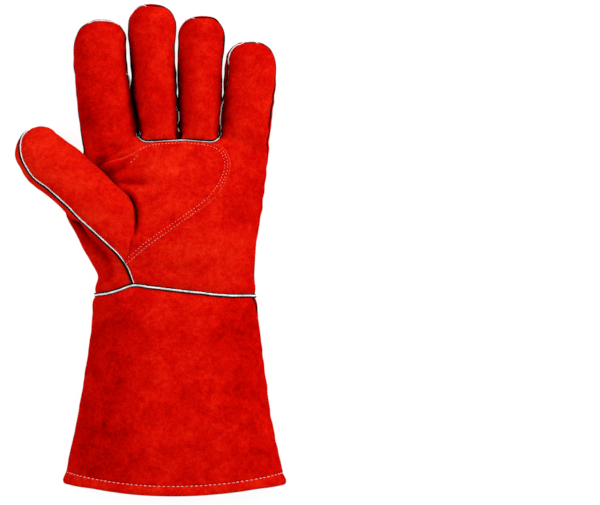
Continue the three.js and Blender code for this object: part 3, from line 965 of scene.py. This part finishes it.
def trim(name, clean, handled, roughness, specular=0.4):
    """A strip or thread sewn into the suede: one colour, duller and darker in short stretches."""
    material, tree, shader = new_material(name, Roughness=roughness, **{"Specular IOR Level": specular})
    place = millimetres(tree)
    stops = [(0.35, linear(handled)), (0.6, linear(clean))]
    tree.links.new(ramp(tree, noise(tree, place, SOILED, 4, 0.7), stops), shader.inputs["Base Color"])
    wrinkles = {"Strength": 0.3, "Distance": 0.0003, "Height": noise(tree, place, WRINKLE)}
    tree.links.new(add(tree, "ShaderNodeBump", wrinkles).outputs[0], shader.inputs["Normal"])
    return material


# Its two darkest colours are painted shade, its last a painted highlight
red_suede = suede("red_suede", "#180000", "#7E0000", "#AA0200", "#C40903", "#D7200A", "#E85A48")
# The same split's unlined flesh side, which was never brushed: darker and browner, with the same painted
# shade and highlight
inside_suede = suede("inside_suede", "#180000", "#5C0201", "#7A0602", "#9C0D06", "#AC1C0E", "#C04838")
# Cotton tape with a smooth white vinyl coat: a soft gloss, and a little grey where it rubs
white_welting = trim("white_welting", "#F0EEEC", "#C4BEBB", 0.45)
# A nearly black matt strip beside the white piping: painted shadow, standing for the shade in the seam's
# groove
seam_shadow_black = trim("seam_shadow_black", "#0B0908", "#050404", 0.8, 0.05)
# Twisted spun thread, pulled tight into the red nap: an off-white that takes a pink tint from it
thread = trim("white_thread", "#DDC0B8", "#C08A7E", 0.7)


def dress(name, place, faces, replaced, materials, indices=None, nap=None):
    """Makes a piece of the glove that rides on its body and stands for its solids."""
    mesh = mesh_of(name, place, faces)
    mesh.polygons.foreach_set("use_smooth", [True] * len(faces))
    for material in materials:
        mesh.materials.append(material)
    if indices is not None:
        mesh.polygons.foreach_set("material_index", indices)
    # the nap attribute carries painted light and shade
    if nap is not None:
        mesh.attributes.new("nap", "FLOAT", "POINT").data.foreach_set("value", nap)
    piece = bpy.data.objects.new(name, mesh)
    bpy.context.scene.collection.objects.link(piece)
    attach(piece, "root")
    if replaced:
        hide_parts(*replaced)
    return piece


def leather(name, skin, replaced, inner=None):
    """A leather piece: the skin, its inner face and the cut edge between them."""
    n = len(skin.place)
    edge = skin.rim()
    if inner is None:
        normal = skin.normals()
        inner = skin.place - normal * LEATHER
        inner[:, 2] = np.maximum(inner[:, 2], TABLE_GAP + 0.5 * LEATHER * (normal[:, 2] < 0))
    place = np.vstack([skin.place, inner])
    faces = np.vstack([
        skin.faces,
        skin.faces[:, ::-1] + n,
        np.stack([edge[:, 1], edge[:, 0], edge[:, 0] + n], 1),
        np.stack([edge[:, 1], edge[:, 0] + n, edge[:, 1] + n], 1),
    ])
    indices = np.zeros(len(faces), int)
    indices[len(skin.faces) : 2 * len(skin.faces)] = 1
    dress(name, place, faces, replaced, [red_suede, inside_suede], indices, np.tile(skin["nap"], 2))


# Beads and stitches that follow a seam
class Run:
    """An even, smoothed run along a seam: places, and unit directions outward and across."""

    def __init__(self, chain, step=1.0, rounds=8):
        place = chain["place"]
        self.closed = np.allclose(place[0], place[-1])
        travelled = np.concatenate([[0], np.cumsum(np.linalg.norm(np.diff(place, axis=0), axis=1))])
        self.length = travelled[-1]
        at = np.linspace(0, self.length, max(4, int(self.length / step)) + 1)
        even = [
            np.stack([np.interp(at, travelled, values[:, k]) for k in range(3)], 1)
            for values in (place, chain["normal"], chain["across"])
        ]
        for _ in range(rounds):
            even = [self.softened(values) for values in even]
        self.place, normal, across = even
        self.place = self.softened(self.place)
        tangent = np.gradient(self.place, axis=0)
        if self.closed:
            tangent[0] = tangent[-1] = self.place[1] - self.place[-2]
        tangent /= np.linalg.norm(tangent, axis=1, keepdims=True)
        self.tangent = tangent
        self.normal = self.unit(normal, tangent)
        self.across = self.unit(across, tangent, self.normal)

    def softened(self, values):
        result = values.copy()
        result[1:-1] = (values[:-2] + 2 * values[1:-1] + values[2:]) / 4
        if self.closed:
            result[0] = result[-1] = (values[-2] + 2 * values[0] + values[1]) / 4
        return result

    @staticmethod
    def unit(values, *directions):
        for direction in directions:
            values = values - (values * direction).sum(1, keepdims=True) * direction
        return values / np.linalg.norm(values, axis=1, keepdims=True)

    def between(self, first, last):
        """The part of the run from one place to another."""
        part = copy.copy(self)
        part.place, part.normal, part.across, part.tangent = (
            values[first : last + 1] for values in (self.place, self.normal, self.across, self.tangent)
        )
        return part

    def swept(self, section):
        """Vertices and faces of a closed section (across, outward) carried along the run."""
        section = np.asarray(section, float)
        if section.ndim == 2:
            section = np.broadcast_to(section, (len(self.place), *section.shape))
        aside, lift = section[..., :1], section[..., 1:]
        rings = self.place[:, None] + aside * self.across[:, None] + lift * self.normal[:, None]
        rings[..., 2] = np.maximum(rings[..., 2], TABLE_GAP)
        skin = tube_skin(rings)
        return skin.place, skin.faces


def oval(shift, lift, half_width, half_height, sides=10):
    angle = 2 * math.pi * np.arange(sides) / sides
    return np.stack([shift + half_width * np.cos(angle), lift + half_height * np.sin(angle)], 1)


def joined(parts):
    """One list of vertices, of faces, and of material numbers from several (vertices, faces, number)."""
    offsets = np.cumsum([0] + [len(place) for place, _, _ in parts[:-1]])
    place = np.vstack([p for p, _, _ in parts])
    faces = np.vstack([f + o for (_, f, _), o in zip(parts, offsets)])
    numbers = np.concatenate([np.full(len(f), number) for _, f, number in parts])
    return place, faces, numbers


def piping(name, runs, strands, replaced, turned=None):
    """Sweeps a seam's piping: half width, half height, material, and place (across, outward) of each strand
    before and after it turns over. `turned` gives how far it has turned along a run."""
    parts = []
    for run in runs:
        share = turned(run)[:, None, None] if turned else 0
        for half_width, half_height, number, plain, turned_over in strands:
            before, after = (oval(*place, half_width, half_height) for place in (plain, turned_over))
            sections = before * (1 - share) + after * share + np.zeros((len(run.place), 1, 1))
            parts.append((*run.swept(sections), number))
    place, faces, numbers = joined(parts)
    dress(name, place, faces, replaced, [white_welting, seam_shadow_black], numbers)


STITCH_PROFILE = [(-0.42, 0.6), (-0.2, 1.0), (0.2, 1.0), (0.42, 0.6)]  # place along a stitch, and thickness


def stitches(name, rows):
    """Short sunk threads along each row: chain, pitch, length, half width, lift, shift across."""
    parts = []
    angle = 2 * math.pi * np.arange(6) / 6
    for chain, pitch, length, half_width, lift, shift in rows:
        run = Run(chain, 0.5, 12)
        steps = int(run.length / pitch)
        for at in (np.arange(steps) + 0.5) / steps * (len(run.place) - 1):
            n = int(at)
            middle = run.place[n] + shift * run.across[n] + lift * run.normal[n]
            rings = np.array([
                middle
                + along * length * run.tangent[n]
                + half_width * thick * np.cos(angle)[:, None] * run.across[n]
                + half_width * thick * np.sin(angle)[:, None] * run.normal[n]
                for along, thick in STITCH_PROFILE
            ])
            rings[..., 2] = np.maximum(rings[..., 2], TABLE_GAP)
            skin = tube_skin(rings)
            parts.append((skin.place, skin.faces, 0))
    place, faces, _ = joined(parts)
    dress(name, place, faces, None, [thread])


SEAM_ALLOWANCE = 0.5  # each leather edge stops this far from the seam's line
WRIST_ALLOWANCE = 1.0
SPLIT_ALLOWANCE = 0.3  # between middle and ring finger
UNDER_THUMB_EDGE = 3.0  # the hand's leather runs in this deep under the thumb
above_wrist = hand["wrist"] - WRIST_ALLOWANCE
hand_side = hand.cut(above_wrist)
hand_side = hand_side.cut(hand_side["thumb"] + UNDER_THUMB_EDGE)
front = hand_side.cut(hand_side["front"] - SEAM_ALLOWANCE)
palm_skin = front.cut(-front["knuckle"] - SEAM_ALLOWANCE).largest()
leather("palm_leather", palm_skin, ["palm"])
leather("back_leather", hand_side.cut(-hand_side["front"] - SEAM_ALLOWANCE).largest(), ["back"])
above_knuckles = front.cut(front["knuckle"] - SEAM_ALLOWANCE)
for finger, inside in (("middle", -above_knuckles["split"]), ("ring", above_knuckles["split"])):
    finger_skin = above_knuckles.cut(inside - SPLIT_ALLOWANCE).largest()
    leather(f"{finger}_finger_leather", finger_skin, [f"{finger}_finger_front"])
visible_thumb = thumb.cut(thumb["hand"] - 0.1)
for half, inside in (("front", visible_thumb["seam"]), ("back", -visible_thumb["seam"])):
    half_skin = visible_thumb.cut(inside - SEAM_ALLOWANCE).largest()
    leather(f"thumb_{half}_leather", half_skin, [f"thumb_{half}"])
cuff = hand.cut(-hand["wrist"] - WRIST_ALLOWANCE)
cuff = cuff.cut(cuff["stitch"] - 0.1)
cuff_seam = np.where(cuff.place[:, 0] > HEM_CENTRE_X, np.abs(cuff["side"]) - SEAM_ALLOWANCE, FAR)
leather("cuff_leather", cuff.cut(cuff_seam).largest(), ["cuff"])


# The patch lies on the palm as a second layer with a rounded edge and two sunk rows of stitches
PATCH_THICKNESS = 1.3
PATCH_EDGE = 1.4  # how far in its edge is rounded
patch = palm_skin.cut(palm_skin["thumb"] - 0.4)
patch = patch.cut(patch["patch"])


def stitch_rows(points):
    """How far inside the patch's edge its inner and outer rows of stitches run."""
    x, y = points.T
    inner = 3.4 + 0.6 * ease(x, 30, 50) - 2.4 * ease(y, 58, 70) * (1 - ease(x, 36, 55))
    return inner, 0.8 + 1.2 * ease(x, 25, 50)


inner_row, outer_row = (patch["patch"] - distance for distance in stitch_rows(patch.place[:, :2]))
edge_share = np.clip(patch["patch"] / PATCH_EDGE, 0, 1)
rise = PATCH_THICKNESS * (0.45 + 0.55 * np.sqrt(1 - (1 - edge_share) ** 2))
rise -= 0.35 * bump(outer_row, 0.9) + 0.3 * bump(inner_row, 1.1)
patch_normal = patch.normals()
under = patch.place + 0.12 * patch_normal
patch.place = patch.place + rise[:, None] * patch_normal
# Painted highlight: the patch is painted paler towards its raised raw edge
patch.columns["nap"] = patch["nap"] + 0.28 * (1 - edge_share) ** 3
leather("palm_patch_leather", patch, ["palm_patch"], under)

# The hem is the cuff's edge folded up inside and stitched down
HEM_SECTION = [
    (7.9, -0.4), (7.7, 0.2), (7.1, 0.05), (6.4, 0.35), (4.8, 0.6), (2.8, 0.65), (1.2, 0.45), (0.4, 0.0),
    (0.0, -0.8), (0.1, -1.6), (0.7, -2.2), (1.8, -2.4), (4.8, -2.4), (7.9, -2.4),
]
HEM_STITCH = 7.2
HEM_DROP = 1.5  # at its sides the fold hangs this far lower
HEM_BULGE = 0.9  # and stands out this far


def longest(chains):
    sizes = [len(chain["place"]) for chain in chains]
    return chains[int(np.argmax(sizes))]


hem_run = Run(longest(seam_path(hand, hand["hem"])), 1.0, 10)
hem_sections = np.broadcast_to(np.array(HEM_SECTION), (len(hem_run.place), len(HEM_SECTION), 2)).copy()
hem_sections[..., 1] += (0.18 * ripple(hem_run.place, 16, 41))[:, None]
at_side = ease(np.abs(hem_run.place[:, 0] - HEM_CENTRE_X), 55, 82)[:, None]
below_stitches = 1 - ease(hem_sections[..., 0], 0, HEM_STITCH)
hem_sections[..., 1] += HEM_BULGE * at_side * bump(hem_sections[..., 0] - 2.5, 2.2)
hem_sections[..., 0] -= HEM_DROP * at_side * below_stitches
hem_place, hem_faces = hem_run.swept(hem_sections[:, ::-1])
dress("hem_band", hem_place, hem_faces, ["hem"], [red_suede])

# Piping in the seams: a white edge and a black strip of painted shadow for the seam's groove, which turn over
# each other here and there
WHITE, GROOVE_SHADOW = 0, 1
SHOWN_WHITE = [  # where the finger piping's white edge turns up: x, y, reach, and the way the seam faces
    (-34, 166.5, 11, 0),
    (-8, 177, 4, 0),
    (27.5, 168, 4, 0),
    (60, 143, 8, -1),
    (-16, 124, 4, 1),
    (20, 97, 4.5, 1),
    (51, 98, 9, -1),
    (72, 151, 6, 0),
    (18.5, 84.5, 3.5, 1),
]


def white_turned_up(run):
    x, y = run.place[:, 0], run.place[:, 1]
    facing = run.normal[:, 0]
    near = [
        bump(np.hypot(x - px, y - py), reach) * (facing * side >= 0) for px, py, reach, side in SHOWN_WHITE
    ]
    return np.clip(1.6 * np.max(near, 0), 0, 1)


def turning(axis, start, end):
    """Piping that turns over from `start` to `end` along x (0) or y (1)."""
    def share(run):
        return ease(run.place[:, axis], start, end)
    return share


def runs_of(*path):
    return [Run(chain) for chain in seam_path(*path)]


def clear_of_crotch(points):
    """Negative low on the ring finger's side of the crotch, where the finger piping is tucked away."""
    x, y = points.T
    return np.maximum(19.6 - x, np.maximum(y - 86, np.abs(x - CROTCH[0]) - 4))


piping(
    "finger_piping",
    runs_of(hand, hand["side"], hand["palm"], above_wrist, hand["thumb"] - 0.6, clear_of_crotch(plan)),
    [
        (0.42, 0.5, GROOVE_SHADOW, (0.2, 0.5), (-0.5, 0.25)),
        (0.27, 0.42, WHITE, (-0.1, -0.8), (0.35, 1.0)),
    ],
    ["finger_welt"],
    white_turned_up,
)
piping(
    "knuckle_piping",
    runs_of(hand, hand["knuckle"], hand["front"]),
    [
        (0.74, 0.85, GROOVE_SHADOW, (0.46, 0.78), (-0.6, 0.6)),
        (0.2, 0.6, WHITE, (-0.42, 0.75), (0.3, 0.75)),
    ],
    ["knuckle_welt"],
    turning(1, 80.5, 84),
)


def towards_wrist(chain):
    """The chain, started at its end that is farther from the wrist's junction."""
    far = np.linalg.norm(chain["place"][[0, -1], :2] - thumb_root[-1], axis=1)
    return chain if far[0] > far[1] else {name: values[::-1] for name, values in chain.items()}


# The thumb's piping runs on into the seam at its root
thumb_chains = seam_path(thumb, thumb["seam"], thumb["hand"] - 0.2)
root_chains = seam_path(
    hand, hand["palm"], hand["side"] - 1, hand["thumb"] - 0.2, above_wrist, -4 - plan[:, 1],
)
thumb_chain, root_chain = towards_wrist(longest(thumb_chains)), towards_wrist(root_chains[0])
thumb_run = Run({
    name: np.concatenate([thumb_chain[name], root_chain[name]]) for name in ("place", "normal", "across")
})
root_starts = np.linalg.norm(thumb_run.place - root_chain["place"][0], axis=1).argmin()
THUMB_STRANDS = [
    (0.24, 0.64, WHITE, (0.38, 0.78), (0.82, 0.65)),
    (0.95, 0.8, GROOVE_SHADOW, (-0.75, 0.72), (-0.4, 0.66)),
]
for name, first, last in (("thumb", 0, root_starts), ("thumb_root", root_starts, len(thumb_run.place))):
    part = thumb_run.between(first, last)
    piping(f"{name}_piping", [part], THUMB_STRANDS, [f"{name}_welt"], turning(1, 2, -14))
piping(
    "wrist_piping",
    runs_of(hand, hand["wrist"]),
    [
        (0.68, 0.85, WHITE, (0, 0.85), (0, 0.85)),
        (0.62, 0.8, GROOVE_SHADOW, (1.1, 0.85), (0.8, 0.3)),
        (0.6, 0.75, GROOVE_SHADOW, (-0.7, 0.1), (-0.95, 0.7)),
    ],
    ["wrist_welt"],
    turning(0, -14, -4),
)
# Only a black strip here: a painted shadow line along the cuff's seam
piping(
    "cuff_seam_shadow_line",
    runs_of(hand, hand["side"], -1.5 - hand["wrist"], plan[:, 0] - HEM_CENTRE_X, hand["stitch"]),
    [(0.5, 0.8, GROOVE_SHADOW, (0, 0.35), (0, 0.35))],
    ["cuff_seam_welt"],
)

# Thread: the patch's inner row ends at the palm's folds, its outer row at the knuckles, and a short row
# crosses a fold
patch_x, patch_y = patch.place[:, 0], patch.place[:, 1]
(start_x, start_y), (end_x, end_y) = (-14.5, 62.7), (-8.0, 68.9)
beside_ridge = (patch_x - start_x) * (end_y - start_y) - (patch_y - start_y) * (end_x - start_x)
rows = seam_path(patch, inner_row, np.maximum(patch_x + 8, 30 - patch_y))
rows += seam_path(patch, outer_row, np.maximum(patch_x - 50, 30 - patch_y))
rows += seam_path(patch, beside_ridge, patch_x - start_x, end_x - patch_x)
stitches("patch_stitches", [(row, 2.35, 0.85, 0.17, 0.06, 0.0) for row in rows])
hem_row = {"place": hem_run.place, "normal": hem_run.normal, "across": hem_run.across}
stitches("hem_stitches", [(hem_row, 3.4, 2.1, 0.27, 0.3, HEM_STITCH)])


def floor():
    size = 6.0
    bpy.ops.mesh.primitive_plane_add(size=size, location=(0, 0, 0))
    plane = bpy.context.object
    plane.name = "floor"
    glow = {"Base Color": linear("#606060"), "Emission Color": (1, 1, 1, 1), "Emission Strength": 0.9}
    material, _, _ = new_material("floor_white", Roughness=0.9, **glow)
    plane.data.materials.append(material)


def area_light(name, place, size, power):
    """A soft light that faces the glove."""
    light = bpy.data.lights.new(name, "AREA")
    light.size = size
    light.energy = power
    lamp = bpy.data.objects.new(name, light)
    lamp.location = place
    lamp.rotation_euler = (-Vector(place)).to_track_quat("-Z", "Y").to_euler()
    bpy.context.scene.collection.objects.link(lamp)


floor()
area_light("key", (1.35, 1.0, 1.0), 0.9, 28)
area_light("front", (-0.1, -0.3, 3.4), 1.9, 38)
area_light("fill", (-1.5, 0.4, 1.1), 1.0, 11)
world = bpy.data.worlds.new("studio")
world.use_nodes = True
world.node_tree.nodes["Background"].inputs["Color"].default_value = (1, 1, 1, 1)
world.node_tree.nodes["Background"].inputs["Strength"].default_value = 0.42
bpy.context.scene.world = world
bpy.context.scene.view_settings.view_transform = "Standard"
